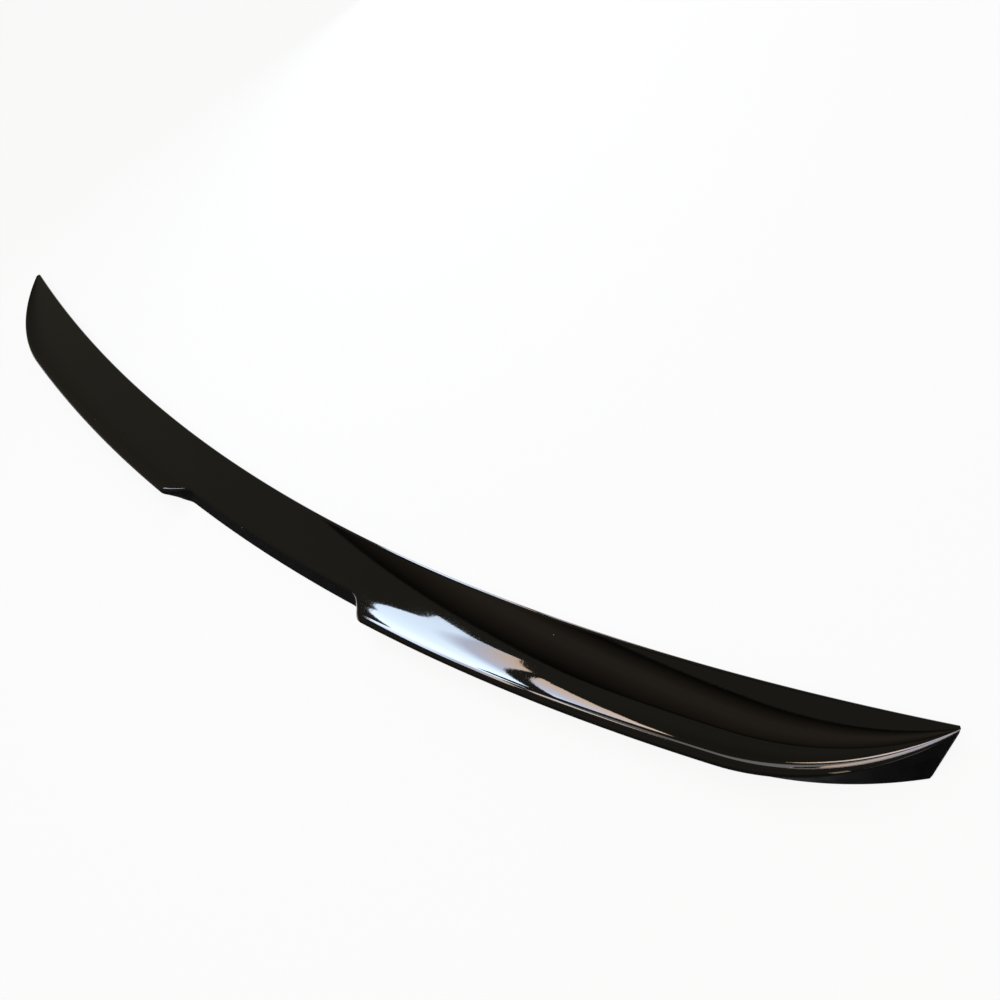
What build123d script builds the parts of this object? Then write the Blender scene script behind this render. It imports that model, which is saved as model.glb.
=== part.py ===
from build123d import *
import os
from math import asin, atan2, cos, hypot, pi, radians, sin, sqrt

os.makedirs("parts", exist_ok=True)

# A boot-lid lip spoiler, one moulding, in millimetres. X runs across the car, Y forwards and Z up.
# It rests on the foot of its rear wall, at Z = 0, with the thin leading edge held just clear of the floor.

# Plan form
span = 1204.0             # tip to tip, before the tips are rounded off
bow = 87.7                # how far the middle of the leading edge lies behind the tips
chord = 67.8              # leading edge to the outermost line of the lip, drawn on to the middle
lip_arc = 2100.0          # plan radius of the lip's centre line
end_radius = 192.0        # plan radius of the lip where it runs forwards into the tip
tip_width = 3.8           # leading edge to the lip's centre line at the tip

# Blade section, measured back from the leading edge and up from the floor
lead_height = 13.5        # top of the leading edge
lead_thickness = 3.6      # upright thickness of the leading edge
lead_radius = 1.5         # rounds along it, above and below
knee_slope = 6.0          # slope where the shallow dish turns into the ramp, in degrees
ramp_radius = 33.0        # hollow ramp that carries the blade up to the lip
lip_slope = 45.0          # slope of the ramp where it runs into the lip, in degrees
lip_rise = 11.0           # top of the lip above the top of the leading edge
lip_radius = 4.5          # rounded lip of the wings, in front of its crest
lip_heel = 0.95           # its radius behind the crest, as a share of that in front
tip_lip_radius = 2.2      # rounded lip where it meets the tip

# Rear wall, end cheeks and the seat on the boot lid
foot_back = 63.0          # foot of the rear wall behind the leading edge
foot_edge = 2.0           # upright edge along the foot
foot_end_radius = 300.0   # plan radius of the foot under each end cheek
cut_back = 37.7           # corner of an end cheek, behind the tip
cut_inset = 4.5           # the same corner, inboard of the tip
cut_corner_radius = 7.0   # plan radius of that corner
tip_corner_radius = 3.0   # plan radius of the tip

# Notch in the middle of the trailing edge, where the blade stops short of the lip
notch_back = 45.5         # line where the blade rolls over into the notch's wall
notch_foot_back = 57.5    # foot of that wall
notch_floor = 257.0       # width of the notch along that line
notch_mouth = 300.0       # its width between the corners of the lips
notch_ease = 6.0          # half the length over which its plan corners are rounded off
crest_radius = 3.0        # rounded crest of its wall

# Hollow underside
wall = 3.0                # thickness of the moulding on the wings; it thins with the rounded lip
seat_land = 22.0          # width of the bonding land along the leading edge
rib_thickness = 2.5       # ribs across the hollow
rib_count = 10
hollow_end = 52.0         # solid length left at each tip

# Worked-out sizes
half_span = span / 2
lead_arc = (half_span**2 + bow**2) / (2 * bow)
foot_arc = lead_arc + foot_back
lip_reach = chord - lip_heel * lip_radius
mouth_rise = lip_arc - sqrt(lip_arc**2 - (notch_mouth / 2) ** 2)
apex_y = (chord - mouth_rise - bow) / 2
seat_height = lead_height - lead_thickness
lip_top = lead_height + lip_rise
knee_angle = radians(knee_slope)
lip_angle = radians(lip_slope)
ramp_end = lip_reach - lip_radius * sin(lip_angle)
ramp_end_height = lip_top - lip_radius + lip_radius * cos(lip_angle)
knee_back = ramp_end - ramp_radius * (sin(lip_angle) - sin(knee_angle))
knee_height = ramp_end_height - ramp_radius * (cos(knee_angle) - cos(lip_angle))
dish_back = knee_back - lead_radius
dish_lift = knee_height - lead_height
dish_depth = dish_back * sin(knee_angle) - dish_lift * cos(knee_angle)
dish_radius = hypot(dish_back, dish_lift) ** 2 / (2 * dish_depth)
knee_forward = (cos(knee_angle), -sin(knee_angle))
clear = 20.0              # how far the cutting shapes run past the moulding
middle_section_count = 5  # sections of the lofts across half the notch and along its side
side_section_count = 9
end_section_count = 10    # sections of the loft at each end
wing_stretch_count = 3    # lofts along a wing between these, and the sections of each
wing_section_count = 5
bay_section_count = 5     # sections of each loft in the hollow
run_out = radians(12)     # angle at which the end cut leaves the moulding's edges
run_length = 30.0         # length over which it does so


def arc_y(radius, apex, x):
    """Y of a plan arc, centred on the car, by its rearmost point."""
    return apex + radius - sqrt(radius**2 - x**2)


class PlanCurve:
    """A wide plan arc across the car that turns forwards into a tighter arc at each end."""

    def __init__(self, radius, apex, end_radius, end_x, end_y):
        self.radius = radius
        self.apex = apex
        self.end_radius = end_radius
        rise = end_y - apex - radius
        across = hypot(end_x, rise)
        inner = radius - end_radius
        along = (inner**2 - end_radius**2 + across**2) / (2 * across)
        aside = sqrt(inner**2 - along**2)
        self.end_centre_x = (along * end_x + aside * rise) / across
        self.end_centre_y = apex + radius + (along * rise - aside * end_x) / across
        self.joint_x = self.end_centre_x * radius / inner

    def y(self, x):
        """Y at one place across the span."""
        if abs(x) <= self.joint_x:
            return arc_y(self.radius, self.apex, x)
        return self.end_centre_y - sqrt(self.end_radius**2 - (abs(x) - self.end_centre_x) ** 2)


def bend(distance):
    """A straight climb from zero whose start is rounded off over the notch's ease."""
    rounded = min(max(distance + notch_ease, 0), 2 * notch_ease)
    return rounded**2 / (4 * notch_ease) + max(distance - notch_ease, 0)


def wing_share(x):
    """Zero across the notch, one on the wings, with an eased ramp along the sides of the notch."""
    outside = abs(x) - notch_floor / 2
    side = (notch_mouth - notch_floor) / 2
    return (bend(outside) - bend(outside - side)) / side


tip_y = arc_y(lead_arc, apex_y, half_span)
corner_x = half_span - cut_inset
corner_y = tip_y - cut_back
lip_line = PlanCurve(lip_arc, apex_y - lip_reach, end_radius, half_span, tip_y - tip_width)
foot_line = PlanCurve(foot_arc, apex_y - foot_back, foot_end_radius, corner_x, corner_y)


class Station:
    """The section at one place across the span, as distances behind the leading edge and heights."""

    def __init__(self, x):
        self.x = x
        self.lead_y = arc_y(lead_arc, apex_y, x)
        on_wing = wing_share(x)
        self.foot = self.lead_y - foot_line.y(x) - (foot_back - notch_foot_back) * (1 - on_wing)
        tip_reach = lead_radius + tip_lip_radius * sin(lip_angle)
        self.scale = (self.lead_y - lip_line.y(x) - tip_reach) / (lip_reach - tip_reach)
        stop = notch_back + (ramp_end - notch_back) * on_wing
        self.slope = asin(sin(knee_angle) + (stop - knee_back) / ramp_radius)
        lip = tip_lip_radius + (lip_radius - tip_lip_radius) * self.scale
        self.radius = crest_radius + (lip - crest_radius) * on_wing
        self.knee = self.on_blade(knee_angle)
        self.root = self.on_blade(self.slope)
        self.lip_back = self.root[0] + self.radius * sin(self.slope)
        self.crest_height = self.root[1] + self.radius * (1 - cos(self.slope))
        self.heel = lip_heel * self.radius
        down = foot_edge - self.crest_height + self.heel
        back = self.foot - self.lip_back
        self.wall_normal = atan2(down, back) + pi / 2 - asin(self.heel / hypot(back, down))

    def on_blade(self, slope):
        """Point of the ramp with a given slope; the blade shrinks about its nose towards the tips."""
        back = knee_back + ramp_radius * (sin(slope) - sin(knee_angle)) - lead_radius
        lift = knee_height + ramp_radius * (cos(knee_angle) - cos(slope)) - lead_height
        return lead_radius + back * self.scale, lead_height + lift * self.scale

    def on_lip(self, normal, depth=0.0):
        """Point of the rounded lip or under it, by the angle of its normal up from straight back."""
        radius = self.radius if normal > pi / 2 else self.heel
        reach = radius - depth
        return self.lip_back + reach * cos(normal), self.crest_height - radius + reach * sin(normal)

    def under_ramp(self, slope, depth):
        """Point under the ramp at a given depth."""
        back, height = self.on_blade(slope)
        return back + depth * sin(slope), height - depth * cos(slope)

    def under_dish(self, back, depth):
        """Point under the dish at a given depth and distance behind the leading edge."""
        arc = dish_radius * self.scale
        centre_back = self.knee[0] - arc * sin(knee_angle)
        centre_height = self.knee[1] + arc * cos(knee_angle)
        return back, centre_height - sqrt((arc + depth) ** 2 - (back - centre_back) ** 2)

    def at(self, point):
        """Sketch point on the YZ plane."""
        return self.lead_y - point[0], point[1]


def blade_section(x):
    """Closed section of the moulding before it is hollowed: nose, dish, ramp, lip, rear wall and seat."""
    s = Station(x)
    round_top = lead_height - lead_radius
    round_low = seat_height + lead_radius
    set_back = lead_radius * (1 - sqrt(0.5))
    nose_top = s.at((lead_radius, lead_height))
    nose_low = s.at((lead_radius, seat_height))
    front_top = s.at((0, round_top))
    front_low = s.at((0, round_low))
    knee = s.at(s.knee)
    root = s.at(s.root)
    crest = s.at(s.on_lip(pi / 2))
    wall_top = s.at(s.on_lip(s.wall_normal))
    foot_top = s.at((s.foot, foot_edge))
    foot_low = s.at((s.foot, 0))
    with BuildSketch(Plane.YZ.offset(x)) as profile:
        with BuildLine():
            ThreePointArc(nose_low, s.at((set_back, seat_height + set_back)), front_low)
            Line(front_low, front_top)
            ThreePointArc(front_top, s.at((set_back, lead_height - set_back)), nose_top)
            TangentArc(knee, nose_top, tangent=knee_forward)
            ThreePointArc(knee, s.at(s.on_blade((knee_angle + s.slope) / 2)), root)
            ThreePointArc(root, s.at(s.on_lip((pi + s.slope) / 2)), crest)
            ThreePointArc(crest, s.at(s.on_lip((pi / 2 + s.wall_normal) / 2)), wall_top)
            Polyline(wall_top, foot_top, foot_low, nose_low)
        make_face()
    return profile.sketch


def hollow_section(x):
    """Section of the hollow: the blade, lip and rear wall drawn in by the thickness, open downwards."""
    s = Station(x)
    depth = wall * s.radius / lip_radius
    land = s.at(s.under_dish(seat_land, depth))
    knee = s.at(s.under_ramp(knee_angle, depth))
    root = s.at(s.under_ramp(s.slope, depth))
    wall_top = s.at(s.on_lip(s.wall_normal, depth))
    fall = s.crest_height - s.heel - foot_edge
    foot = s.lip_back + (s.heel - depth + fall * sin(s.wall_normal)) / cos(s.wall_normal)
    foot_top = s.at((foot, foot_edge))
    foot_low = s.at((foot, -clear))
    land_low = s.at((seat_land, -clear))
    with BuildSketch(Plane.YZ.offset(x)) as profile:
        with BuildLine():
            TangentArc(knee, land, tangent=knee_forward)
            ThreePointArc(knee, s.at(s.under_ramp((knee_angle + s.slope) / 2, depth)), root)
            Polyline(root, wall_top, foot_top, foot_low, land_low, land)
        make_face()
    return profile.sketch


def spread(start, end, count):
    """Evenly spaced places from start to end, both included."""
    return [start + (end - start) * i / (count - 1) for i in range(count)]


# The blade is lofted in stretches, which meet where its plan form changes
side_start = notch_floor / 2 - notch_ease
side_end = notch_mouth / 2 + notch_ease
wing_stops = spread(side_end, lip_line.joint_x, wing_stretch_count + 1)
half_stretches = [
    spread(0, side_start, middle_section_count),
    spread(side_start, side_end, side_section_count),
    spread(lip_line.joint_x, half_span, end_section_count),
]
for start, end in zip(wing_stops[:-1], wing_stops[1:]):
    half_stretches.append(spread(start, end, wing_section_count))
stretches = half_stretches + [[-x for x in places] for places in half_stretches]

# The hollow is cut upwards through the seat in bays, with a rib left between each two
hollow_reach = half_span - hollow_end
rib_places = spread(-hollow_reach, hollow_reach, rib_count + 2)[1:-1]
bay_starts = [-hollow_reach] + [x + rib_thickness / 2 for x in rib_places]
bay_ends = [x - rib_thickness / 2 for x in rib_places] + [hollow_reach]
notch_breaks = [-side_end, -side_start, side_start, side_end]
bays = []
for bay_start, bay_end in zip(bay_starts, bay_ends):
    breaks = [x for x in notch_breaks if bay_start + rib_thickness < x < bay_end - rib_thickness]
    stops = [bay_start] + breaks + [bay_end]
    bays += [spread(start, end, bay_section_count) for start, end in zip(stops[:-1], stops[1:])]

# Waste beyond each end: the cheek runs from the rounded tip back to a rounded corner at the foot
lead_turn = pi + asin(half_span / lead_arc) - run_out
foot_turn = atan2(foot_line.end_centre_x - corner_x, corner_y - foot_line.end_centre_y) + run_out
before_tip = (half_span + run_length * cos(lead_turn), tip_y + run_length * sin(lead_turn))
past_corner = (corner_x + run_length * cos(foot_turn), corner_y + run_length * sin(foot_turn))
tip = (half_span, tip_y)
corner = (corner_x, corner_y)
outside = half_span + clear
ahead = tip_y + clear

with BuildPart() as end_waste:
    with BuildSketch(Plane.XY.offset(-clear)) as end_outline:
        with BuildLine():
            Polyline(before_tip, tip, corner, past_corner)
            Polyline(past_corner, (outside, past_corner[1]), (outside, ahead))
            Polyline((outside, ahead), (before_tip[0], ahead), before_tip)
        make_face()
        fillet(end_outline.vertices().sort_by_distance((half_span, tip_y, -clear))[0], tip_corner_radius)
        fillet(end_outline.vertices().sort_by_distance((corner_x, corner_y, -clear))[0], cut_corner_radius)
    extrude(amount=lip_top + 2 * clear)
    mirror(about=Plane.YZ)

with BuildPart() as spoiler:
    for places in stretches:
        loft(sections=[blade_section(x) for x in places])
    add(end_waste.part, mode=Mode.SUBTRACT)
    for places in bays:
        loft(sections=[hollow_section(x) for x in places], mode=Mode.SUBTRACT)

spoiler.part.label = "spoiler"
export_step(spoiler.part, "parts/spoiler.step")
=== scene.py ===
"""A gloss-black boot-lid lip spoiler on a plain pale floor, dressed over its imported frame."""
import logging
from dataclasses import dataclass, field
from enum import Enum
from math import radians

import bmesh
import bpy
import numpy as np
from mathutils import Matrix, Vector


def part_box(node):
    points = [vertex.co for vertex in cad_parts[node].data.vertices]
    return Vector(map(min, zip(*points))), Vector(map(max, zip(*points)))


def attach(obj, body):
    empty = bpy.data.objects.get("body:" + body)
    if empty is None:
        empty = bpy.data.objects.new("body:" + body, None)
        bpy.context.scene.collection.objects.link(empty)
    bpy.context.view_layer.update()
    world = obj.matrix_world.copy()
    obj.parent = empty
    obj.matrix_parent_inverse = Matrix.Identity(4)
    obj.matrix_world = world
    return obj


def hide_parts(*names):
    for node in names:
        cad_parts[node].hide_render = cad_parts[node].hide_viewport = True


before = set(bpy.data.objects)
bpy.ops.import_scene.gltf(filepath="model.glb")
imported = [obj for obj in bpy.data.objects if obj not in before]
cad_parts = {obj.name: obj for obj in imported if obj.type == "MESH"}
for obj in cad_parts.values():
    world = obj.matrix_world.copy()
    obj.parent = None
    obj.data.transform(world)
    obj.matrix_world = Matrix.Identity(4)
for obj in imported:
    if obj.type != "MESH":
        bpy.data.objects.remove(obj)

log = logging.getLogger("spoiler")

Colour = tuple[float, float, float]
Place = tuple[float, float, float]
Pair = tuple[np.ndarray, np.ndarray]
MILLIMETRE = 0.001
BODY = "root"
NODE = "spoiler"
WHITE: Colour = (1.0, 1.0, 1.0)
BLACK: Colour = (0.0, 0.0, 0.0)
SHEET_LINES = 9
QUAD = 4


class Run(Enum):
    """The runs of the section, in order round the moulding from under its nose."""

    NOSE = 0
    DISH = 1
    RAMP = 2
    LIP = 3
    LIP_BACK = 4
    WALL = 5
    FOOT_EDGE = 6
    FOOT = 7
    INNER_FOOT = 8
    INNER_WALL = 9
    INNER_LIP = 10
    INNER_RAMP = 11
    INNER_DISH = 12
    LAND_SIDE = 13
    SEAT = 14


class Skin(Enum):
    """The two surfaces of the moulding, by their place in its list of materials."""

    GLOSS = 0
    GRAINED = 1


RUN_STEPS: dict[Run, int] = {
    Run.NOSE: 14, Run.DISH: 26, Run.RAMP: 18, Run.LIP: 18, Run.LIP_BACK: 8, Run.WALL: 8,
    Run.FOOT_EDGE: 2, Run.FOOT: 2, Run.INNER_FOOT: 2, Run.INNER_WALL: 6, Run.INNER_LIP: 6,
    Run.INNER_RAMP: 8, Run.INNER_DISH: 8, Run.LAND_SIDE: 3, Run.SEAT: 6,
}
GLOSS_RUNS = (Run.NOSE, Run.DISH, Run.RAMP, Run.LIP)
HOLLOW_RUNS = (Run.INNER_FOOT, Run.INNER_WALL, Run.INNER_LIP, Run.INNER_RAMP, Run.INNER_DISH, Run.LAND_SIDE)


def plan_arc(radius: float, apex: float, x: np.ndarray) -> np.ndarray:
    """Y of a plan arc centred on the car: its rearmost point plus the arc's rise at x."""
    return apex + radius - np.sqrt(radius**2 - x**2)


def straight_run(start: Pair, end: Pair, share: np.ndarray) -> Pair:
    """Straight run from one point to another, by the share of its length."""
    return start[0] + (end[0] - start[0]) * share, start[1] + (end[1] - start[1]) * share


def within(runs: np.ndarray, chosen: tuple[Run, ...]) -> np.ndarray:
    """True for each column whose run is one of the chosen ones."""
    return np.isin(runs, [run.value for run in chosen])


class PlanCurve:
    """A wide plan arc across the car that turns forwards into a tighter arc at each end."""

    def __init__(self, radius: float, apex: float, end_radius: float, end: tuple[float, float]) -> None:
        """Finds the end arc: tangent to the wide one from inside, and through the end point.

        Args:
            radius: radius of the wide arc.
            apex: Y of its rearmost point.
            end_radius: radius of the end arc.
            end: plan point that the end arc passes through.
        """
        self.radius = radius
        self.apex = apex
        self.end_radius = end_radius
        rise = end[1] - apex - radius
        across = np.hypot(end[0], rise)
        inner = radius - end_radius
        along = (inner**2 - end_radius**2 + across**2) / (2 * across)
        aside = np.sqrt(inner**2 - along**2)
        self.end_x = (along * end[0] + aside * rise) / across
        self.end_y = apex + radius + (along * rise - aside * end[0]) / across
        self.joint = self.end_x * radius / inner

    def y(self, x: np.ndarray) -> np.ndarray:
        """Y of the curve: on the wide arc as far as the joint, and on the end arc beyond it.

        Args:
            x: places across the span.

        Returns:
            Y at each place.
        """
        beyond = np.abs(x) - self.end_x
        tight = self.end_y - np.sqrt(np.maximum(self.end_radius**2 - beyond**2, 0.0))
        return np.where(np.abs(x) <= self.joint, plan_arc(self.radius, self.apex, x), tight)


class EndCut:
    """The plan line that trims an end: along the nose, round the tip, down the cheek and round its corner."""

    def __init__(self, points: list[tuple[float, float]], radii: tuple[float, float],
                 inside: tuple[float, float]) -> None:
        """Keeps the three straight edges as inward distances, and the two rounds as circles.

        Args:
            points: the four plan points of the three edges.
            radii: radius of the round at the second and at the third point.
            inside: a plan point that the cut leaves in place.
        """
        line = np.array(points)
        self.start = line[:-1]
        step = np.diff(line, axis=0)
        self.along = step / np.linalg.norm(step, axis=1, keepdims=True)
        inward = np.stack([-self.along[:, 1], self.along[:, 0]], axis=1)
        side = np.sign(np.sum(inward * (np.array(inside) - self.start), axis=1, keepdims=True))
        self.inward = inward * side
        self.radii = radii
        offset = np.sum(self.inward * self.start, axis=1)
        self.centres = [
            np.linalg.solve(self.inward[i:i + 2], offset[i:i + 2] + radius) for i, radius in enumerate(radii)
        ]

    def depth(self, x: np.ndarray, y: np.ndarray) -> np.ndarray:
        """Distance inside the cut, below zero outside it.

        It is the least of the distances from the edges, except beside a round, where it is the radius less
        the distance from the round's centre.

        Args:
            x: places across the span.
            y: places along the car.

        Returns:
            The distances, in the shape of the places.
        """
        spot = np.stack([x, y], axis=-1)
        depth = np.min(spot @ self.inward.T - np.sum(self.inward * self.start, axis=1), axis=-1)
        for i, radius in enumerate(self.radii):
            from_centre = spot - self.centres[i]
            beside = (from_centre @ self.along[i] > 0) & (from_centre @ self.along[i + 1] < 0)
            depth = np.where(beside, radius - np.linalg.norm(from_centre, axis=-1), depth)
        return depth


class Section:
    """The moulding's section at places across the span, as distances behind the leading edge and heights.

    It shrinks about its nose towards the tips by one scale. Dish and ramp are arcs, the lip is two arcs that
    meet at its crest, and the wall is the straight line from the foot that touches the lip.
    """

    def __init__(self, sizes: "Moulding", x: np.ndarray) -> None:
        """Works out the arcs, the lip and the wall at each place.

        Args:
            sizes: the moulding.
            x: place across the span for each row and column.
        """
        self.sizes = sizes
        self.lead_y = plan_arc(sizes.lead_arc, sizes.apex, x)
        on_wing = sizes.wing_share(x)
        notch_set_in = sizes.foot_back - sizes.notch_foot_back
        self.foot = self.lead_y - sizes.foot_line.y(x) - notch_set_in * (1 - on_wing)
        tip_reach = sizes.lead_radius + sizes.tip_lip_radius * np.sin(sizes.lip_slope)
        self.scale = (self.lead_y - sizes.lip_line.y(x) - tip_reach) / (sizes.lip_reach - tip_reach)
        stop = sizes.notch_back + (sizes.ramp_end - sizes.notch_back) * on_wing
        self.slope_end = np.arcsin(np.sin(sizes.knee_slope) + (stop - sizes.knee_back) / sizes.ramp_radius)
        wing_radius = sizes.tip_lip_radius + (sizes.lip_radius - sizes.tip_lip_radius) * self.scale
        self.radius = sizes.crest_radius + (wing_radius - sizes.crest_radius) * on_wing
        self.depth = sizes.wall * self.radius / sizes.lip_radius
        knee = self.ramp(np.full_like(x, sizes.knee_slope))
        root = self.ramp(self.slope_end)
        self.lip_back = root[0] + self.radius * np.sin(self.slope_end)
        self.crest_height = root[1] + self.radius * (1 - np.cos(self.slope_end))
        self.heel = sizes.lip_heel * self.radius
        fall = sizes.foot_edge - self.crest_height + self.heel
        reach = self.foot - self.lip_back
        touch = np.arcsin(self.heel / np.hypot(reach, fall))
        self.wall_normal = np.arctan2(fall, reach) + np.pi / 2 - touch
        drop = self.heel - self.depth - fall * np.sin(self.wall_normal)
        self.foot_in = self.lip_back + drop / np.cos(self.wall_normal)
        self.arc = sizes.dish_radius * self.scale
        self.arc_back = knee[0] - self.arc * np.sin(sizes.knee_slope)
        self.arc_height = knee[1] + self.arc * np.cos(sizes.knee_slope)

    def ramp(self, slope: np.ndarray, under: np.ndarray | float = 0.0) -> Pair:
        """Point of the ramp with a given slope, or under it.

        Args:
            slope: slope of the ramp there.
            under: how far inside the surface.

        Returns:
            Its distance behind the leading edge and its height.
        """
        sizes = self.sizes
        across = sizes.ramp_radius * (np.sin(slope) - np.sin(sizes.knee_slope))
        climb = sizes.ramp_radius * (np.cos(sizes.knee_slope) - np.cos(slope))
        back = sizes.knee_back + across - sizes.lead_radius
        lift = sizes.knee_height + climb - sizes.lead_height
        return (sizes.lead_radius + back * self.scale + under * np.sin(slope),
                sizes.lead_height + lift * self.scale - under * np.cos(slope))

    def lip(self, normal: np.ndarray, under: np.ndarray | float = 0.0) -> Pair:
        """Point of the rounded lip with a given normal, or under it.

        Args:
            normal: angle of the normal, from straight back up to the crest and on over the ramp.
            under: how far inside the surface.

        Returns:
            Its distance behind the leading edge and its height.
        """
        round_off = np.where(normal > np.pi / 2, self.radius, self.heel)
        inside = round_off - under
        return (self.lip_back + inside * np.cos(normal),
                self.crest_height - round_off + inside * np.sin(normal))

    def dish(self, slope: np.ndarray, under: np.ndarray | float = 0.0) -> Pair:
        """Point of the dish with a given slope, or under it."""
        radius = self.arc + under
        return self.arc_back + radius * np.sin(slope), self.arc_height - radius * np.cos(slope)

    def on_seat(self, back: np.ndarray | float) -> Pair:
        """Point of the straight seat under a given distance behind the leading edge."""
        sizes = self.sizes
        return back, sizes.seat_height * (self.foot - back) / (self.foot - sizes.lead_radius)

    def nose(self, share: np.ndarray) -> Pair:
        """Points of the nose: two quarter rounds with a short upright between them.

        Args:
            share: how far along the nose each column lies.

        Returns:
            Their distances behind the leading edge and their heights.
        """
        sizes = self.sizes
        turn = np.pi * (share - 0.5)
        middle = sizes.seat_height + sizes.lead_thickness / 2
        upright = (sizes.lead_thickness / 2 - sizes.lead_radius) * np.sign(turn)
        return sizes.lead_radius * (1 - np.cos(turn)), middle + upright + sizes.lead_radius * np.sin(turn)

    def outer_runs(self, share: np.ndarray) -> list[Pair]:
        """The runs from the nose over the top and down to the foot, in order.

        Dish and ramp are walked by slope. The lip is walked by the angle of its normal, from the ramp's slope
        to the line where the gloss ends, and on to the tangent that meets the foot.

        Args:
            share: how far along its run each column lies.

        Returns:
            The points of each run at every column.
        """
        sizes = self.sizes
        lip_start = np.pi / 2 + self.slope_end
        gloss_end = np.maximum(sizes.gloss_end, self.wall_normal)
        foot_top = (self.foot, sizes.foot_edge)
        foot_low = (self.foot, 0.0)
        return [
            self.nose(share),
            self.dish(sizes.dish_start + (sizes.knee_slope - sizes.dish_start) * share),
            self.ramp(sizes.knee_slope + (self.slope_end - sizes.knee_slope) * share),
            self.lip(lip_start + (gloss_end - lip_start) * share),
            self.lip(gloss_end + (self.wall_normal - gloss_end) * share),
            straight_run(self.lip(self.wall_normal), foot_top, share),
            straight_run(foot_top, foot_low, share),
            straight_run(foot_low, self.on_seat(self.foot_in), share),
        ]

    def inner_runs(self, share: np.ndarray) -> list[Pair]:
        """The runs from the foot round the hollow and along the seat, in order.

        Wall, ramp and dish are drawn in by the thickness, with a straight corner under the lip.

        Args:
            share: how far along its run each column lies.

        Returns:
            The points of each run at every column.
        """
        sizes = self.sizes
        depth = self.depth
        inner_top = (self.foot_in, sizes.foot_edge)
        land_slope = np.arcsin((sizes.seat_land - self.arc_back) / (self.arc + depth))
        land = self.on_seat(sizes.seat_land)
        return [
            straight_run(self.on_seat(self.foot_in), inner_top, share),
            straight_run(inner_top, self.lip(self.wall_normal, depth), share),
            straight_run(self.lip(self.wall_normal, depth), self.ramp(self.slope_end, depth), share),
            self.ramp(self.slope_end + (sizes.knee_slope - self.slope_end) * share, depth),
            self.dish(sizes.knee_slope + (land_slope - sizes.knee_slope) * share, depth),
            straight_run(self.dish(land_slope, depth), land, share),
            straight_run(land, (sizes.lead_radius, sizes.seat_height), share),
        ]


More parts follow.
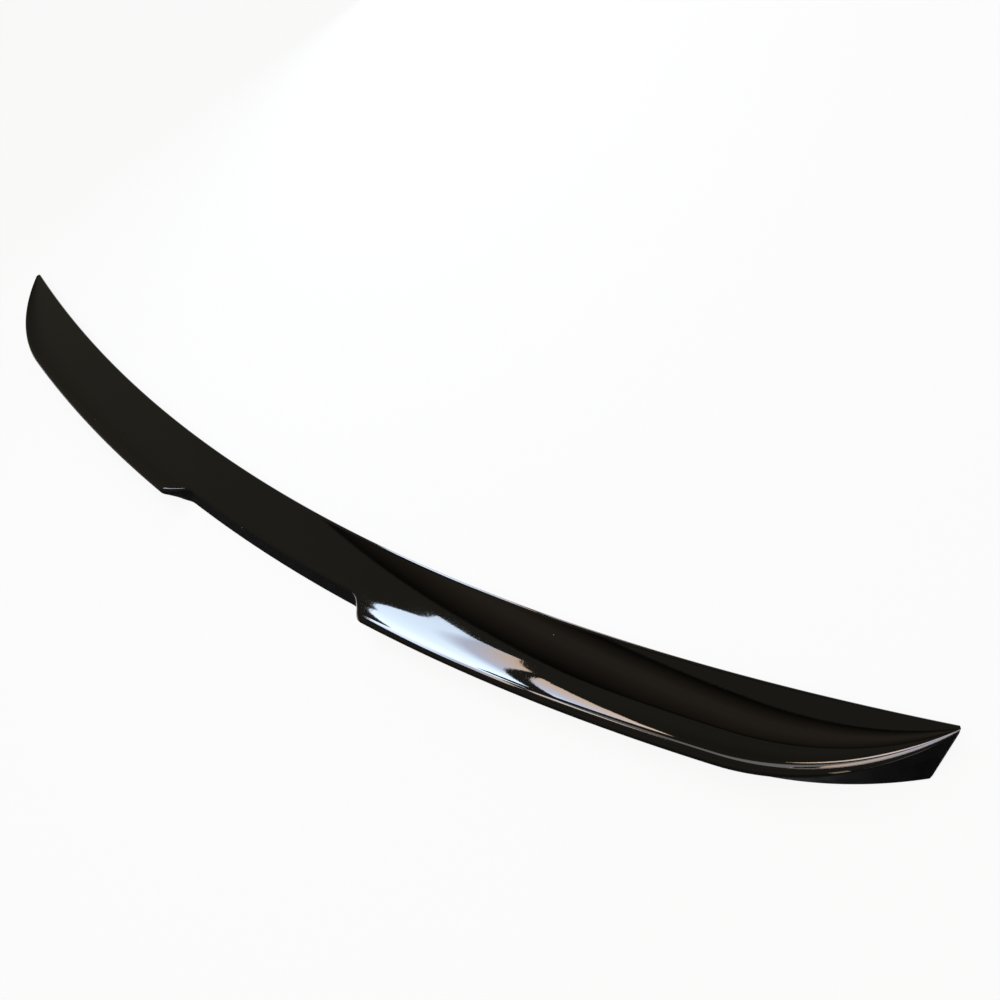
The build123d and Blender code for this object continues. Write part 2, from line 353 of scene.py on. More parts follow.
@dataclass
class Moulding:
    """The whole spoiler as one closed skin, in millimetres: X across the car, Y forwards and Z up.

    Its section is carried across the span along plan arcs.
    """

    # The plan.
    span: float = 1204.0
    bow: float = 87.7
    chord: float = 67.8
    lip_arc: float = 2100.0
    end_radius: float = 192.0
    tip_width: float = 3.8
    # The section of the wings.
    lead_height: float = 13.5
    lead_thickness: float = 3.6
    lead_radius: float = 1.5
    knee_slope: float = radians(6)
    ramp_radius: float = 33.0
    lip_slope: float = radians(45)
    lip_rise: float = 11.0
    lip_radius: float = 4.5
    lip_heel: float = 0.95
    tip_lip_radius: float = 2.2
    foot_back: float = 63.0
    foot_edge: float = 2.0
    foot_end_radius: float = 300.0
    # The cut at each end.
    cut_back: float = 37.7
    cut_inset: float = 4.5
    cut_corner_radius: float = 7.0
    tip_corner_radius: float = 3.0
    run_out: float = radians(12)
    run_length: float = 30.0
    # The notch in the middle.
    notch_back: float = 45.5
    notch_foot_back: float = 57.5
    notch_floor: float = 257.0
    notch_mouth: float = 300.0
    notch_ease: float = 6.0
    crest_radius: float = 3.0
    # The hollow and its ribs.
    wall: float = 3.0
    seat_land: float = 22.0
    rib_thickness: float = 2.5
    rib_count: int = 10
    rib_margin: float = 0.2
    hollow_end: float = 52.0
    # The normal at which the gloss ends, behind the lip's crest.
    gloss_end: float = radians(50)
    # The grid.
    notch_step: float = 6.0
    side_step: float = 0.7
    wing_step: float = 5.0
    end_rows: int = 40
    cut_halvings: int = 48
    merge_gap: float = 0.002
    least_edge: float = 0.001
    sharp_angle: float = radians(32)
    # What follows from the sizes above.
    half: float = field(init=False)
    lead_arc: float = field(init=False)
    lip_reach: float = field(init=False)
    apex: float = field(init=False)
    seat_height: float = field(init=False)
    ramp_end: float = field(init=False)
    knee_back: float = field(init=False)
    knee_height: float = field(init=False)
    dish_radius: float = field(init=False)
    dish_start: float = field(init=False)
    lip_line: PlanCurve = field(init=False)
    foot_line: PlanCurve = field(init=False)
    end_cut: EndCut = field(init=False)

    def __post_init__(self) -> None:
        """Works out the sizes that follow from the given ones."""
        self.half = self.span / 2
        self.lead_arc = (self.half**2 + self.bow**2) / (2 * self.bow)
        self.lip_reach = self.chord - self.lip_heel * self.lip_radius
        mouth_rise = self.lip_arc - np.sqrt(self.lip_arc**2 - (self.notch_mouth / 2) ** 2)
        self.apex = (self.chord - mouth_rise - self.bow) / 2
        self.seat_height = self.lead_height - self.lead_thickness
        lip_top = self.lead_height + self.lip_rise
        self.ramp_end = self.lip_reach - self.lip_radius * np.sin(self.lip_slope)
        ramp_top = lip_top - self.lip_radius * (1 - np.cos(self.lip_slope))
        self.knee_back = self.ramp_end - self.ramp_radius * (np.sin(self.lip_slope) - np.sin(self.knee_slope))
        self.knee_height = ramp_top - self.ramp_radius * (np.cos(self.knee_slope) - np.cos(self.lip_slope))
        back = self.knee_back - self.lead_radius
        lift = self.knee_height - self.lead_height
        sag = back * np.sin(self.knee_slope) - lift * np.cos(self.knee_slope)
        self.dish_radius = (back**2 + lift**2) / (2 * sag)
        self.dish_start = np.arcsin(np.sin(self.knee_slope) - back / self.dish_radius)
        tip = (self.half, float(plan_arc(self.lead_arc, self.apex, np.array(self.half))))
        corner = (tip[0] - self.cut_inset, tip[1] - self.cut_back)
        self.lip_line = PlanCurve(
            self.lip_arc, self.apex - self.lip_reach, self.end_radius, (tip[0], tip[1] - self.tip_width))
        self.foot_line = PlanCurve(
            self.lead_arc + self.foot_back, self.apex - self.foot_back, self.foot_end_radius, corner)
        self.end_cut = self.trimmed_end(tip, corner)

    def trimmed_end(self, tip: tuple[float, float], corner: tuple[float, float]) -> EndCut:
        """The end cut through the tip and the cheek's corner, leaving both edges at a small angle.

        Args:
            tip: plan point of the tip before it is rounded.
            corner: plan point of the cheek's corner before it is rounded.

        Returns:
            The cut of the right-hand end.
        """
        lead_turn = np.pi + np.arcsin(self.half / self.lead_arc) - self.run_out
        swing = (self.foot_line.end_x - corner[0], corner[1] - self.foot_line.end_y)
        foot_turn = np.arctan2(*swing) + self.run_out
        length = self.run_length
        before = (tip[0] + length * np.cos(lead_turn), tip[1] + length * np.sin(lead_turn))
        past = (corner[0] + length * np.cos(foot_turn), corner[1] + length * np.sin(foot_turn))
        middle = (tip[0] - length, (tip[1] + corner[1]) / 2)
        return EndCut([before, tip, corner, past], (self.tip_corner_radius, self.cut_corner_radius), middle)

    def eased(self, distance: np.ndarray) -> np.ndarray:
        """A straight climb from zero whose start is rounded off by a parabola over the notch's ease."""
        rounded = np.clip(distance + self.notch_ease, 0.0, 2 * self.notch_ease)
        return rounded**2 / (4 * self.notch_ease) + np.maximum(distance - self.notch_ease, 0.0)

    def wing_share(self, x: np.ndarray) -> np.ndarray:
        """Zero across the notch and one on the wings: the eased climb up the notch's side over its length.

        Args:
            x: places across the span.

        Returns:
            The share at each place.
        """
        outside = np.abs(x) - self.notch_floor / 2
        side = (self.notch_mouth - self.notch_floor) / 2
        return (self.eased(outside) - self.eased(outside - side)) / side

    def columns(self) -> Pair:
        """The grid's columns round the section.

        Returns:
            The number of each column's run, and how far along that run it lies, from 0 up to 1.
        """
        runs = np.concatenate([np.full(count, run.value) for run, count in RUN_STEPS.items()])
        shares = np.concatenate([np.arange(count) / count for count in RUN_STEPS.values()])
        return runs, shares

    def section(self, x: np.ndarray, hollow: np.ndarray) -> Pair:
        """Places of the section's columns at each place across the span.

        Each column takes its own run's point. Where the moulding is solid, the hollow's runs lie evenly along
        the seat instead.

        Args:
            x: place across the span for each row and column.
            hollow: true where a row is hollow.

        Returns:
            Y and Z for each row and column.
        """
        runs, share = self.columns()
        drawn = Section(self, x)
        points = drawn.outer_runs(share) + drawn.inner_runs(share)
        here = [np.broadcast_to(runs == run.value, x.shape) for run in Run]
        back = np.select(here, [point[0] for point in points])
        height = np.select(here, [point[1] for point in points])
        inside = within(runs, HOLLOW_RUNS)
        along = (np.cumsum(inside) - 1) / inside.sum()
        flat = drawn.on_seat(drawn.foot_in + (self.seat_land - drawn.foot_in) * along)
        solid = inside & ~hollow
        return drawn.lead_y - np.where(solid, flat[0], back), np.where(solid, flat[1], height)

    def rows(self) -> Pair:
        """The grid's rows from the middle of the car to the start of the right-hand end.

        Rows stand close along the side of the notch. Each rib face and the hollow's end take two rows at one
        place, one hollow and one solid, so that the faces between them close the rib or the end.

        Returns:
            The places across the span, and true where a row is hollow.
        """
        side_start = self.notch_floor / 2 - 2 * self.notch_ease
        side_end = self.notch_mouth / 2 + 2 * self.notch_ease
        reach = self.half - self.hollow_end
        stops = [(0.0, side_start, self.notch_step), (side_start, side_end, self.side_step),
                 (side_end, reach, self.wing_step)]
        plain = np.concatenate([
            np.linspace(start, end, max(int(round((end - start) / step)), 1), endpoint=False)
            for start, end, step in stops
        ])
        ribs = np.linspace(-reach, reach, self.rib_count + 2)[1:-1]
        ribs = ribs[ribs > 0]
        half = self.rib_thickness / 2
        gap = np.min(np.abs(plain[:, None] - ribs[None, :]), axis=1)
        plain = plain[gap > half + self.rib_margin]
        x = np.concatenate([plain, ribs - half, ribs - half, ribs + half, ribs + half, [reach, reach]])
        every = np.ones(plain.shape, dtype=bool)
        rib = np.ones(ribs.shape, dtype=bool)
        hollow = np.concatenate([every, rib, ~rib, ~rib, rib, [True, False]])
        second = np.concatenate([~every, ~rib, rib, ~rib, rib, [False, True]])
        order = np.lexsort((second, x))
        return x[order], hollow[order]

    def skin(self) -> np.ndarray:
        """Points of the whole closed skin.

        Between the ends a row lies at one place across the span. In an end each column runs on by itself to
        the place where it meets the end cut, found by halving, and the rows share that length out, closer
        towards the cut. The left half is the right half mirrored.

        Returns:
            An array of rows by columns by three.
        """
        x_row, hollow_row = self.rows()
        columns = len(self.columns()[0])
        start = x_row[-1]
        solid = np.zeros((1, columns), dtype=bool)
        low = np.full((1, columns), start)
        high = np.full((1, columns), self.half)
        for _ in range(self.cut_halvings):
            trial = (low + high) / 2
            kept = self.end_cut.depth(trial, self.section(trial, solid)[0]) > 0
            low = np.where(kept, trial, low)
            high = np.where(kept, high, trial)
        share = np.sin(np.linspace(0, np.pi / 2, self.end_rows + 1)[1:, None])
        x = np.concatenate([np.repeat(x_row[:, None], columns, axis=1), start + (low - start) * share])
        hollow = np.concatenate([hollow_row, np.zeros(self.end_rows, dtype=bool)])[:, None]
        y, z = self.section(x, hollow)
        right = np.stack([x, y, z], axis=-1)
        return np.concatenate([right[:0:-1] * np.array([-1.0, 1.0, 1.0]), right])

    def build(self) -> bpy.types.Object:
        """Puts the skin into a mesh: a closed tube of four-sided faces with one face at each end.

        Returns:
            The moulding, at the origin, in metres.
        """
        points = self.skin()
        count, across = points.shape[:2]
        low, high = (np.array(corner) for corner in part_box(NODE))
        centre = (points.min(axis=(0, 1)) + points.max(axis=(0, 1))) / 2
        shift = (low + high) / 2 - centre * MILLIMETRE
        shift[2] = low[2]
        flat = points.reshape(-1, 3) * MILLIMETRE + shift
        number = np.arange(count * across).reshape(count, across)
        onward = np.roll(number, -1, axis=1)
        quads = np.stack([number[:-1], number[1:], onward[1:], onward[:-1]], axis=-1).reshape(-1, QUAD)
        ends = [number[0], number[-1][::-1]]
        gloss = within(self.columns()[0], GLOSS_RUNS)
        skins = np.where(gloss, Skin.GLOSS.value, Skin.GRAINED.value)
        skins = np.concatenate([np.tile(skins, count - 1), np.full(len(ends), Skin.GRAINED.value)])
        mesh = bpy.data.meshes.new("spoiler_moulding")
        mesh.from_pydata(flat.tolist(), [], quads.tolist() + [end.tolist() for end in ends])
        for _ in Skin:
            mesh.materials.append(None)
        mesh.polygons.foreach_set("material_index", skins.astype(np.int32))
        self.close(mesh)
        mesh.shade_smooth()
        mesh.set_sharp_from_angle(angle=self.sharp_angle)
        piece = bpy.data.objects.new("spoiler_moulding", mesh)
        bpy.context.scene.collection.objects.link(piece)
        return piece

    def close(self, mesh: bpy.types.Mesh) -> None:
        """Merges the doubled points, fills the ends with triangles and turns the faces outwards.

        Args:
            mesh: the moulding's mesh.
        """
        work = bmesh.new()
        work.from_mesh(mesh)
        bmesh.ops.remove_doubles(work, verts=work.verts, dist=self.merge_gap * MILLIMETRE)
        bmesh.ops.dissolve_degenerate(work, edges=work.edges, dist=self.least_edge * MILLIMETRE)
        ends = [face for face in work.faces if len(face.verts) > QUAD]
        bmesh.ops.triangulate(work, faces=ends)
        if work.calc_volume(signed=True) < 0:
            bmesh.ops.reverse_faces(work, faces=work.faces)
        work.to_mesh(mesh)
        work.free()

    def dress(self, piece: bpy.types.Object, finishes: dict[Skin, "Finish"]) -> None:
        """Gives each surface of the moulding its finish and ties the piece to the frame.

        Args:
            piece: the moulding.
            finishes: the finish of each surface.
        """
        for skin, finish in finishes.items():
            piece.data.materials[skin.value] = finish.material()
        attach(piece, BODY)
        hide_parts(NODE)


def opaque(colour: Colour) -> tuple[float, float, float, float]:
    """A colour with full alpha, as a node's socket takes it."""
    return (*colour, 1.0)


class Weaver:
    """Adds nodes to a tree and links them in one call."""

    def __init__(self, tree: bpy.types.NodeTree) -> None:
        """Starts from an empty tree."""
        self.tree = tree
        tree.nodes.clear()

    def node(self, kind: str, links: dict | None = None, **settings: object) -> bpy.types.Node:
        """Adds a node.

        Args:
            kind: the node's type.
            links: input name or number to an output socket or a plain value.
            settings: properties of the node.

        Returns:
            The node.
        """
        made = self.tree.nodes.new(kind)
        for name, value in settings.items():
            setattr(made, name, value)
        for key, value in (links or {}).items():
            if isinstance(value, bpy.types.NodeSocket):
                self.tree.links.new(value, made.inputs[key])
            else:
                made.inputs[key].default_value = value
        return made

    def maths(self, operation: str, *values: object, clamp: bool = False) -> bpy.types.NodeSocket:
        """Adds a Math node and returns its output."""
        made = self.node("ShaderNodeMath", dict(enumerate(values)), operation=operation, use_clamp=clamp)
        return made.outputs[0]

    def between(self, factor: object, low: object, high: object) -> bpy.types.NodeSocket:
        """Adds a mix of two colours, each a plain one or a socket.

        Args:
            factor: how far from the first to the second.
            low: the first colour.
            high: the second colour.

        Returns:
            The mixed colour.
        """
        pair = [value if isinstance(value, bpy.types.NodeSocket) else opaque(value) for value in (low, high)]
        made = self.node("ShaderNodeMix", {0: factor, 6: pair[0], 7: pair[1]}, data_type="RGBA")
        return made.outputs[2]

    def spread(self, value: object, low: object, high: object,
               to_low: object = 0.0, to_high: object = 1.0) -> bpy.types.NodeSocket:
        """Adds a clamped Map Range node and returns its output."""
        made = self.node("ShaderNodeMapRange", {0: value, 1: low, 2: high, 3: to_low, 4: to_high}, clamp=True)
        return made.outputs[0]


class Effects:
    """The shader node groups that both finishes of the moulding share, each built once."""

    SPECK_LEAST = 0.4
    SPECK_EDGE = 0.35
    FINE_NOISE = {"Detail": 2.0, "Roughness": 0.55}
    BROAD_NOISE = {"Detail": 3.0, "Roughness": 0.5}

    @staticmethod
    def started(name: str, inputs: dict[str, float], outputs: tuple[str, ...]) -> bpy.types.NodeTree:
        """Starts a group that takes a place and some values.

        Args:
            name: name of the group.
            inputs: default of each value.
            outputs: name of each value put out.

        Returns:
            The group, with its sockets and no nodes.
        """
        group = bpy.data.node_groups.new(name, "ShaderNodeTree")
        group.interface.new_socket(name="Place", in_out="INPUT", socket_type="NodeSocketVector")
        for key, value in inputs.items():
            made = group.interface.new_socket(name=key, in_out="INPUT", socket_type="NodeSocketFloat")
            made.default_value = value
        for key in outputs:
            group.interface.new_socket(name=key, in_out="OUTPUT", socket_type="NodeSocketFloat")
        return group

    @classmethod
    def dust(cls) -> bpy.types.NodeTree:
        """Sparse dust: round specks in some of the cells of a cell pattern, by each cell's own random value.

        Returns:
            The group, from a place to a mask of specks.
        """
        name = "dust_specks"
        if name in bpy.data.node_groups:
            return bpy.data.node_groups[name]
        group = cls.started(name, {"Cells": 300.0, "Amount": 0.05, "Size": 0.1}, ("Mask",))
        weave = Weaver(group)
        given = weave.node("NodeGroupInput").outputs
        cells = weave.node(
            "ShaderNodeTexVoronoi", {"Vector": given["Place"], "Scale": given["Cells"]}, feature="F1")
        pick = weave.node("ShaderNodeSeparateColor", {"Color": cells.outputs["Color"]})
        chosen = weave.maths("LESS_THAN", pick.outputs[0], given["Amount"])
        size = weave.maths("MULTIPLY", given["Size"], weave.maths("ADD", pick.outputs[1], cls.SPECK_LEAST))
        outward = weave.maths("DIVIDE", cells.outputs["Distance"], size)
        near = weave.maths("SUBTRACT", 1.0, outward, clamp=True)
        mask = weave.maths("MULTIPLY", chosen, weave.spread(near, 0.0, cls.SPECK_EDGE))
        weave.node("NodeGroupOutput", {"Mask": mask})
        return group

    @classmethod
    def grain(cls) -> bpy.types.NodeTree:
        """Uneven moulded surface: a fine noise for the height and a broad one for slow changes of tone.

        Returns:
            The group, from a place to a height and a tone.
        """
        name = "moulded_grain"
        if name in bpy.data.node_groups:
            return bpy.data.node_groups[name]
        group = cls.started(name, {"Fine": 900.0, "Broad": 30.0}, ("Height", "Tone"))
        weave = Weaver(group)
        given = weave.node("NodeGroupInput").outputs
        fine, broad = (
            weave.node("ShaderNodeTexNoise", {"Vector": given["Place"], "Scale": given[key], **noise})
            for key, noise in (("Fine", cls.FINE_NOISE), ("Broad", cls.BROAD_NOISE))
        )
        weave.node("NodeGroupOutput", {"Height": fine.outputs[0], "Tone": broad.outputs[0]})
        return group


@dataclass(frozen=True)
class Finish:
    """A moulded surface: colours, roughness, fine relief and dust, in metres and per metre."""

    name: str
    dark: Colour
    light: Colour
    smooth: float
    rough: float
    fine: float
    broad: float
    relief: float
    dust_cells: float
    dust_amount: float
    dust_size: float
    dust_colour: Colour
    dust_rough: float
    coat: float
    specular: float
    tone_limits: tuple[float, float] = (0.35, 0.65)

    def material(self) -> bpy.types.Material:
        """Weaves the finish: tone and dust set the colour and roughness, and the grain sets the relief.

        Returns:
            The material.
        """
        made = bpy.data.materials.new(self.name)
        made.use_nodes = True
        weave = Weaver(made.node_tree)
        place = weave.node("ShaderNodeTexCoord").outputs["Object"]
        grain = weave.node("ShaderNodeGroup", {
            "Place": place, "Fine": self.fine, "Broad": self.broad}, node_tree=Effects.grain())
        dust = weave.node("ShaderNodeGroup", {
            "Place": place, "Cells": self.dust_cells, "Amount": self.dust_amount, "Size": self.dust_size,
        }, node_tree=Effects.dust())
        tone = weave.spread(grain.outputs["Tone"], *self.tone_limits)
        speck = dust.outputs["Mask"]
        colour = weave.between(speck, weave.between(tone, self.dark, self.light), self.dust_colour)
        rough = weave.spread(tone, 0.0, 1.0, self.smooth, self.rough)
        rough = weave.maths("MAXIMUM", rough, weave.maths("MULTIPLY", speck, self.dust_rough))
        bump = weave.node("ShaderNodeBump", {
            "Strength": 1.0, "Distance": self.relief, "Height": grain.outputs["Height"]})
        shader = weave.node("ShaderNodeBsdfPrincipled", {
            "Base Color": colour, "Roughness": rough, "Normal": bump.outputs[0], "Coat Weight": self.coat,
            "Coat Roughness": self.smooth, "Specular IOR Level": self.specular})
        weave.node("ShaderNodeOutputMaterial", {"Surface": shader.outputs[0]})
        return made


GLOSS_BLACK = Finish(
    name="gloss_black_skin", dark=(0.0009, 0.0008, 0.0007), light=(0.0015, 0.0014, 0.0012),
    smooth=0.02, rough=0.05, fine=330.0, broad=14.0, relief=0.000012,
    dust_cells=160.0, dust_amount=0.012, dust_size=0.06, dust_colour=(0.35, 0.35, 0.34), dust_rough=0.7,
    coat=1.0, specular=0.5)
GRAINED_BLACK = Finish(
    name="grained_black_back", dark=(0.0032, 0.0034, 0.0042), light=(0.008, 0.0082, 0.0092),
    smooth=0.7, rough=0.9, fine=1500.0, broad=90.0, relief=0.00016,
    dust_cells=170.0, dust_amount=0.02, dust_size=0.09, dust_colour=(0.5, 0.5, 0.5), dust_rough=0.8,
    coat=0.0, specular=0.03)


def flat_sheet(name: str, reach: float, height: float) -> bpy.types.Object:
    """A flat square grid of the studio, centred on the object: X and Y run evenly from edge to edge.

    Args:
        name: name of the sheet.
        reach: how far it goes each way, in metres.
        height: its height, in metres.

    Returns:
        The sheet, which faces up and isn't part of the object.
    """
    along = np.linspace(-reach, reach, SHEET_LINES)
    x, y = np.meshgrid(along, along, indexing="ij")
    points = np.stack([x, y, np.full_like(x, height)], axis=-1).reshape(-1, 3)
    number = np.arange(x.size).reshape(x.shape)
    quads = np.stack([number[:-1, :-1], number[1:, :-1], number[1:, 1:], number[:-1, 1:]], axis=-1)
    mesh = bpy.data.meshes.new(name)
    mesh.from_pydata(points.tolist(), [], quads.reshape(-1, QUAD).tolist())
    piece = bpy.data.objects.new(name, mesh)
    bpy.context.scene.collection.objects.link(piece)
    return piece


def seen_ray(weave: Weaver) -> bpy.types.NodeSocket:
    """Finds the rays that the eye follows: from the camera, or by way of gloss or glass.

    Args:
        weave: the nodes of the material or the world.

    Returns:
        One for such a ray and zero for any other.
    """
    path = weave.node("ShaderNodeLightPath").outputs
    direct = weave.maths("MAXIMUM", path["Is Camera Ray"], path["Is Glossy Ray"])
    return weave.maths("MAXIMUM", direct, path["Is Transmission Ray"])


def emission(weave: Weaver, colour: object) -> bpy.types.NodeSocket:
    """Adds an emission of a colour at its plain strength and returns its output."""
    return weave.node("ShaderNodeEmission", {"Color": colour, "Strength": 1.0}).outputs[0]


@dataclass
class Floor:
    """The plain pale floor, which carries the object's shadow and is open to the eye from below."""

    reach: float = 6.0
    drop: float = 0.0003
    colour: Colour = (0.86, 0.86, 0.86)
    plain_share: float = 0.9

    def build(self) -> bpy.types.Object:
        """Lays the floor just under the object.

        Returns:
            The floor.
        """
        piece = flat_sheet("floor", self.reach, -self.drop)
        piece.data.materials.append(self.material())
        return piece

    def material(self) -> bpy.types.Material:
        """A matt floor, most of it plain white to the eye and in reflections, the rest lit and shadowed.

        Returns:
            The material.
        """
        made = bpy.data.materials.new("pale_floor")
        made.use_nodes = True
        weave = Weaver(made.node_tree)
        matt = weave.node("ShaderNodeBsdfDiffuse", {"Color": opaque(self.colour)}).outputs[0]
        share = weave.maths("MULTIPLY", seen_ray(weave), self.plain_share)
        mixed = weave.node("ShaderNodeMixShader", {0: share, 1: matt, 2: emission(weave, opaque(WHITE))})
        below = weave.node("ShaderNodeNewGeometry").outputs["Backfacing"]
        clear = weave.node("ShaderNodeBsdfTransparent").outputs[0]
        shown = weave.node("ShaderNodeMixShader", {0: below, 1: mixed.outputs[0], 2: clear})
        weave.node("ShaderNodeOutputMaterial", {"Surface": shown.outputs[0]})
        return made


@dataclass(frozen=True)
class SoftLight:
    """A flat light: its place, the point it faces, its two sides, how bright its face is, and its colour.

    Gloss mirrors it unless it is said not to.
    """

    name: str
    place: Place
    aim: Place
    width: float
    height: float
    glow: float
    colour: Colour
    roll: float = 0.0
    mirrored: bool = True

    def build(self) -> bpy.types.Object:
        """A rectangular area light whose power is its glow times its area times pi.

        Returns:
            The light, hidden from the camera.
        """
        lamp = bpy.data.lights.new(self.name, "AREA")
        lamp.shape = "RECTANGLE"
        lamp.size = self.width
        lamp.size_y = self.height
        lamp.energy = self.glow * self.width * self.height * np.pi
        lamp.color = self.colour
        piece = bpy.data.objects.new(self.name, lamp)
        facing = (Vector(self.aim) - Vector(self.place)).to_track_quat("-Z", "Y").to_matrix().to_4x4()
        piece.matrix_world = Matrix.Translation(self.place) @ facing @ Matrix.Rotation(self.roll, 4, "Z")
        piece.visible_camera = False
        piece.visible_glossy = self.mirrored
        bpy.context.scene.collection.objects.link(piece)
        return piece


@dataclass(frozen=True)
class Window(SoftLight):
    """A tall window: warm along one side, dull in the middle and cool along the other.

    Its warm side is uneven, its cool side flares out towards the foot, and a dark bar slants across it.
    Places on it run from 0 to 1 across and up.
    """

    warm: Colour = (0.57, 0.43, 0.33)
    dull: Colour = (0.42, 0.46, 0.58)
    warm_until: float = 0.08
    dull_at: float = 0.39
    cool_from: float = 0.55
    fray: float = 0.103
    fray_scale: float = 14.0
    fray_detail: float = 3.0
    bar_foot: float = 0.538
    bar_slant: float = 1.148
    bar_half: float = 0.043
    side: float = 0.809
    flare_below: float = 0.255
    flare: float = 0.92
    soft: float = 0.013

    def build(self) -> bpy.types.Object:
        """The light with its face shaded: colour by the place across, dark along the bar and past the sides.

        Returns:
            The light.
        """
        piece = super().build()
        piece.data.color = WHITE
        piece.data.use_nodes = True
        weave = Weaver(piece.data.node_tree)
        spot = weave.node("ShaderNodeNewGeometry").outputs["Parametric"]
        across, up, _ = weave.node("ShaderNodeSeparateXYZ", {0: spot}).outputs
        colour = weave.between(weave.spread(across, self.warm_until, self.dull_at), self.warm, self.dull)
        colour = weave.between(weave.spread(across, self.dull_at, self.cool_from), colour, self.colour)
        uneven = weave.node("ShaderNodeTexNoise", {
            "Vector": spot, "Scale": self.fray_scale, "Detail": self.fray_detail}).outputs[0]
        inside = weave.maths("MULTIPLY_ADD", uneven, -self.fray, across)
        below = weave.maths("MAXIMUM", weave.maths("SUBTRACT", self.flare_below, up), 0.0)
        side = weave.maths("MULTIPLY_ADD", below, self.flare, self.side)
        inside = weave.maths("MINIMUM", inside, weave.maths("SUBTRACT", side, across))
        slant = weave.maths("MULTIPLY_ADD", up, self.bar_slant, across)
        from_bar = weave.maths("ABSOLUTE", weave.maths("SUBTRACT", slant, self.bar_foot))
        clear = weave.spread(from_bar, self.bar_half, self.bar_half + self.soft)
        lit = weave.maths("MULTIPLY", weave.spread(inside, 0.0, self.soft), clear)
        glow = emission(weave, weave.between(lit, BLACK, colour))
        weave.node("ShaderNodeOutputLight", {"Surface": glow})
        return piece


@dataclass(frozen=True)
class CeilingPanel:
    """A strip of the ceiling: the edge it begins at, how far its seam fades before and after, its colour."""

    edge: float
    fade_before: float
    fade_after: float
    colour: Colour


@dataclass
class Ceiling:
    """A dim warm ceiling of panels, which the gloss mirrors. It is hidden from the camera.

    It hangs high, so that its seams lie alike all along the object, and it goes on nearly to the horizon.
    """

    height: float = 20.0
    reach: float = 3000.0
    colour: Colour = (0.117, 0.109, 0.085)
    far_colour: Colour = (0.085, 0.073, 0.053)
    rise: tuple[float, float] = (0.3, 0.72)
    panel_across: tuple[float, float] = (0.674, -0.739)
    seam_shade: float = 0.06
    panels: tuple[CeilingPanel, ...] = (
        CeilingPanel(-0.487, 0.012, 0.16, (0.168, 0.134, 0.1)),
        CeilingPanel(-0.195, 0.09, 0.012, (0.115, 0.106, 0.083)),
    )

    def build(self) -> bpy.types.Object:
        """Hangs the ceiling over the object.

        Returns:
            The ceiling.
        """
        piece = flat_sheet("ceiling", self.reach, self.height)
        piece.visible_camera = False
        piece.data.materials.append(self.material())
        return piece

    def material(self) -> bpy.types.Material:
        """Glowing panels: each takes over at its edge, and the seam there is dark and fades out both ways.

        A place is a distance across the panels over the ceiling's height. The ceiling blends into its far
        colour by the sine of the angle that it is seen at from the object.

        Returns:
            The material.
        """
        made = bpy.data.materials.new("dim_ceiling")
        made.use_nodes = True
        made.cycles.emission_sampling = "NONE"
        weave = Weaver(made.node_tree)
        spot = weave.node("ShaderNodeTexCoord").outputs["Object"]
        x, y, _ = weave.node("ShaderNodeSeparateXYZ", {0: spot}).outputs
        by_x, by_y = (value / self.height for value in self.panel_across)
        place = weave.maths("MULTIPLY_ADD", y, by_y, weave.maths("MULTIPLY", x, by_x))
        colour = self.colour
        for panel in self.panels:
            colour = weave.between(weave.maths("GREATER_THAN", place, panel.edge), colour, panel.colour)
        for panel in self.panels:
            before = weave.spread(place, panel.edge - panel.fade_before, panel.edge, 1.0, 0.0)
            after = weave.spread(place, panel.edge, panel.edge + panel.fade_after, 0.0, 1.0)
            light = weave.spread(weave.maths("ADD", before, after), 0.0, 1.0, self.seam_shade, 1.0)
            colour = weave.between(light, BLACK, colour)
        away = weave.node("ShaderNodeVectorMath", {0: spot}, operation="LENGTH").outputs["Value"]
        sine = weave.maths("DIVIDE", self.height, away)
        shown = weave.between(weave.spread(sine, *self.rise), self.far_colour, colour)
        weave.node("ShaderNodeOutputMaterial", {"Surface": emission(weave, shown)})
        return made


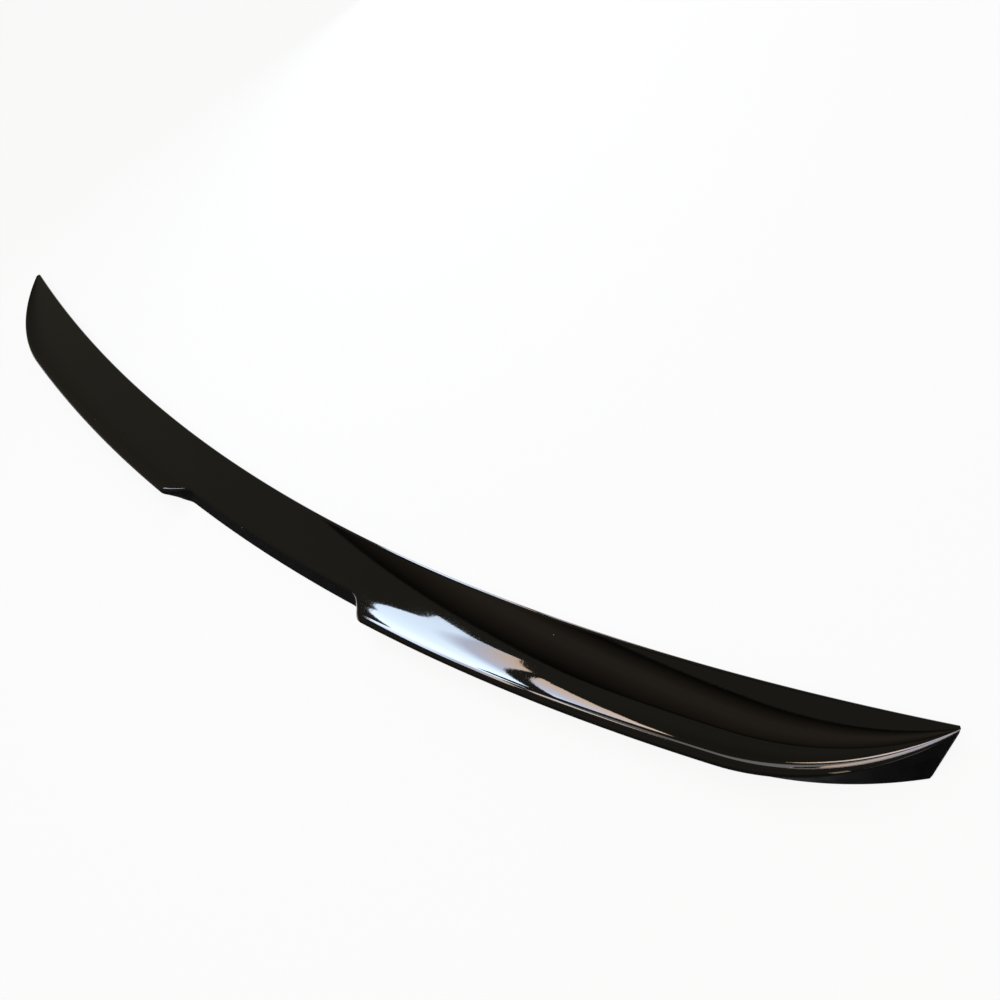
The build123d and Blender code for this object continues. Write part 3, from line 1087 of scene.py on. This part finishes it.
@dataclass
class Studio:
    """The white room round the object and the lights in it."""

    room: Colour = (0.2, 0.19, 0.17)
    lights: tuple[SoftLight, ...] = (
        Window("window", place=(-0.6236, 0.5065, 1.006), aim=(0.4279, -0.3878, 1.2396), roll=radians(-25.4),
               width=0.444, height=2.038, glow=10.8, colour=(0.7, 0.83, 1.0)),
        SoftLight("warm_strip", place=(1.9, -1.9, 1.0), aim=(0.55, 0.0, 0.0),
                  width=0.25, height=1.6, glow=1.8, colour=(1.0, 0.8, 0.58)),
        SoftLight("soft_fill", place=(0.0, 0.0, 3.0), aim=(0.0, 0.0, 0.0),
                  width=4.0, height=4.0, glow=1.4, colour=(1.0, 0.99, 0.97), mirrored=False),
    )

    def build(self) -> None:
        """Makes the world, plain white to the eye and dim as a light, and the lamps."""
        world = bpy.data.worlds.new("studio")
        bpy.context.scene.world = world
        world.use_nodes = True
        weave = Weaver(world.node_tree)
        shown = weave.between(seen_ray(weave), self.room, WHITE)
        back = weave.node("ShaderNodeBackground", {"Color": shown, "Strength": 1.0})
        weave.node("ShaderNodeOutputWorld", {"Surface": back.outputs[0]})
        for light in self.lights:
            light.build()


@dataclass(frozen=True)
class Viewpoint:
    """The camera: its place in metres, its three turns about Z, X and Z, and its lens."""

    place: Place = (0.68982, -0.01356, 0.7055)
    turns: tuple[float, float, float] = (radians(79.58), radians(35.1), radians(-51.23))
    lens: float = 36.0
    sensor: float = 36.0

    def build(self) -> bpy.types.Object:
        """Makes the camera and looks through it.

        Returns:
            The camera.
        """
        data = bpy.data.cameras.new("viewpoint")
        data.lens = self.lens
        data.sensor_width = self.sensor
        camera = bpy.data.objects.new("viewpoint", data)
        turn = Matrix.Rotation(self.turns[0], 4, "Z") @ Matrix.Rotation(self.turns[1], 4, "X")
        camera.matrix_world = Matrix.Translation(self.place) @ turn @ Matrix.Rotation(self.turns[2], 4, "Z")
        bpy.context.scene.collection.objects.link(camera)
        bpy.context.scene.camera = camera
        return camera


def main() -> None:
    """Builds the moulding, its finishes and the studio."""
    logging.basicConfig(level=logging.INFO, format="%(name)s: %(message)s")
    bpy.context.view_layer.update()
    bpy.context.scene.view_settings.view_transform = "Standard"
    moulding = Moulding()
    piece = moulding.build()
    moulding.dress(piece, {Skin.GLOSS: GLOSS_BLACK, Skin.GRAINED: GRAINED_BLACK})
    log.info("%s: %d faces", piece.name, len(piece.data.polygons))
    for stage in (Floor().build(), Ceiling().build()):
        log.info("%s: %.1f m across", stage.name, stage.dimensions.x)
    studio = Studio()
    studio.build()
    log.info("studio: %d lights", len(studio.lights))
    camera = Viewpoint().build()
    log.info("%s: %.0f mm lens", camera.name, camera.data.lens)


if __name__ == "__main__":
    main()
